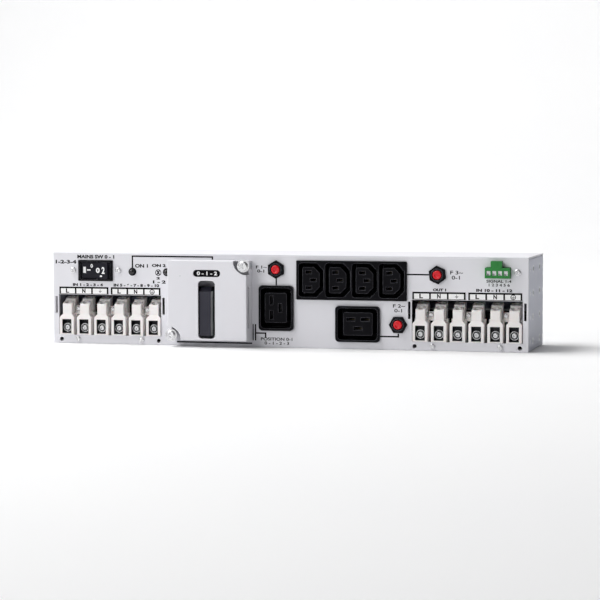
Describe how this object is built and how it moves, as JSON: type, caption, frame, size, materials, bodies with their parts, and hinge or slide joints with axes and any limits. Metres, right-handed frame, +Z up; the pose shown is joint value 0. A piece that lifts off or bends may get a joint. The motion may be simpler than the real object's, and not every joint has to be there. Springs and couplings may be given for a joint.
{
  "type": "rackmount ups bypass and distribution unit",
  "caption": "Two-unit rack box with a rocker switch, covered bypass handle, screw terminals, socket outlets, push-to-reset breakers and a signal plug.",
  "frame": {"origin": "centre of the chassis's flat underside", "axes": "+Z up, +X along the width towards the output terminals, -Y out of the connection face"},
  "size_m": [0.44, 0.1018, 0.083],
  "materials": {
    "cabinet_paint": "fine textured light grey powder coat",
    "tray_paint": "textured blue-grey powder coat",
    "dark_steel": "dark phosphated steel",
    "zinc_steel": "zinc-plated steel",
    "bright_screw": "nickel-plated steel",
    "ivory_plastic": "ivory glass-filled nylon",
    "black_plastic": "black glass-filled nylon, slight grain",
    "rocker_black": "semi-gloss black",
    "lens_plastic": "dark translucent lens",
    "handle_grey": "dark blue-grey nylon",
    "red_button": "red",
    "green_plastic": "green polyamide",
    "label_film": "white printed film",
    "circuit_board": "green solder mask",
    "brass_contact": "tinned or bare brass"
  },
  "bodies": {
    "chassis": {"blade_terminals": "brass_contact", "board_screws": "bright_screw", "board_spacers": "zinc_steel", "bracket_screws": "bright_screw", "breaker_cases": "black_plastic", "breaker_nuts": "black_plastic", "bypass_switch_case": "black_plastic", "bypass_switch_plate": "black_plastic", "bypass_switch_screws": "bright_screw", "bypass_switch_terminals": "brass_contact", "chassis_tray": "tray_paint", "clamp_screws": "bright_screw", "clamp_sleeves": "dark_steel", "connection_panel": "cabinet_paint", "cover_posts": "zinc_steel", "earth_nut": "zinc_steel", "earth_stud": "zinc_steel", "input_switch_housing": "black_plastic", "input_switch_pin": "zinc_steel", "input_switch_screws": "bright_screw", "input_switch_strap": "zinc_steel", "input_terminal_strip": "ivory_plastic", "interlock_switch": "black_plastic", "lamp_bezels": "black_plastic", "lamp_board": "circuit_board", "lamp_lenses": "lens_plastic", "left_large_outlet_housing": "black_plastic", "outlet_bank_housing": "black_plastic", "outlet_contacts": "brass_contact", "output_terminal_strip": "ivory_plastic", "rack_ear_inserts": "zinc_steel", "right_large_outlet_housing": "black_plastic", "signal_board": "circuit_board", "signal_header": "green_plastic", "signal_header_pins": "bright_screw", "strip_screws": "bright_screw", "terminal_brackets": "zinc_steel", "terminal_labels": "label_film", "terminal_rails": "black_plastic", "top_cover": "cabinet_paint", "top_cover_screws": "bright_screw"},
    "input_rocker": {"input_switch_rocker": "rocker_black"},
    "bypass_handle_and_shaft": {"bypass_handle": "handle_grey", "bypass_shaft": "zinc_steel", "bypass_cams": "black_plastic"},
    "bypass_cover": {"bypass_cover": "cabinet_paint", "cover_window_insert": "black_plastic", "cover_peg": "zinc_steel"},
    "upper_cover_screw": {"upper_cover_screw": "bright_screw", "upper_screw_clip": "zinc_steel"},
    "lower_cover_screw": {"lower_cover_screw": "bright_screw", "lower_screw_clip": "zinc_steel"},
    "left_reset_button": {"left_breaker_button": "red_button"},
    "middle_reset_button": {"middle_breaker_button": "red_button"},
    "right_reset_button": {"right_breaker_button": "red_button"},
    "signal_plug": {"signal_plug": "green_plastic", "signal_plug_clamps": "bright_screw"},
    "interlock_plunger": {"interlock_plunger": "red_button"}
  },
  "joints": [
    {"name": "input_rocker_tilt", "type": "hinge", "parent": "chassis", "child": "input_rocker", "pos_m": [-0.1786, -0.038, 0.0669], "axis": [0, 0, 1], "range_deg": [0, 20]},
    {"name": "bypass_handle_turn", "type": "hinge", "parent": "chassis", "child": "bypass_handle_and_shaft", "pos_m": [-0.0694, -0.041, 0.0322], "axis": [0, -1, 0], "range_deg": [0, 90]},
    {"name": "bypass_cover_lift_off", "type": "slide", "parent": "chassis", "child": "bypass_cover", "axis": [0, -1, 0], "range_m": [0, 0.06]},
    {"name": "upper_cover_screw_turn", "type": "hinge", "parent": "bypass_cover", "child": "upper_cover_screw", "pos_m": [-0.0332, -0.041, 0.07345], "axis": [0, 1, 0], "continuous": true},
    {"name": "lower_cover_screw_turn", "type": "hinge", "parent": "bypass_cover", "child": "lower_cover_screw", "pos_m": [-0.1011, -0.041, 0.01065], "axis": [0, 1, 0], "continuous": true},
    {"name": "left_reset_button_pop", "type": "slide", "parent": "chassis", "child": "left_reset_button", "axis": [0, -1, 0], "range_m": [0, 0.005]},
    {"name": "middle_reset_button_pop", "type": "slide", "parent": "chassis", "child": "middle_reset_button", "axis": [0, -1, 0], "range_m": [0, 0.005]},
    {"name": "right_reset_button_pop", "type": "slide", "parent": "chassis", "child": "right_reset_button", "axis": [0, -1, 0], "range_m": [0, 0.005]},
    {"name": "signal_plug_pull", "type": "slide", "parent": "chassis", "child": "signal_plug", "axis": [0, -1, 0], "range_m": [0, 0.02]},
    {"name": "interlock_plunger_press", "type": "slide", "parent": "chassis", "child": "interlock_plunger", "axis": [0, 1, 0], "range_m": [0, 0.002], "stiffness_N_per_m": 300}
  ]
}
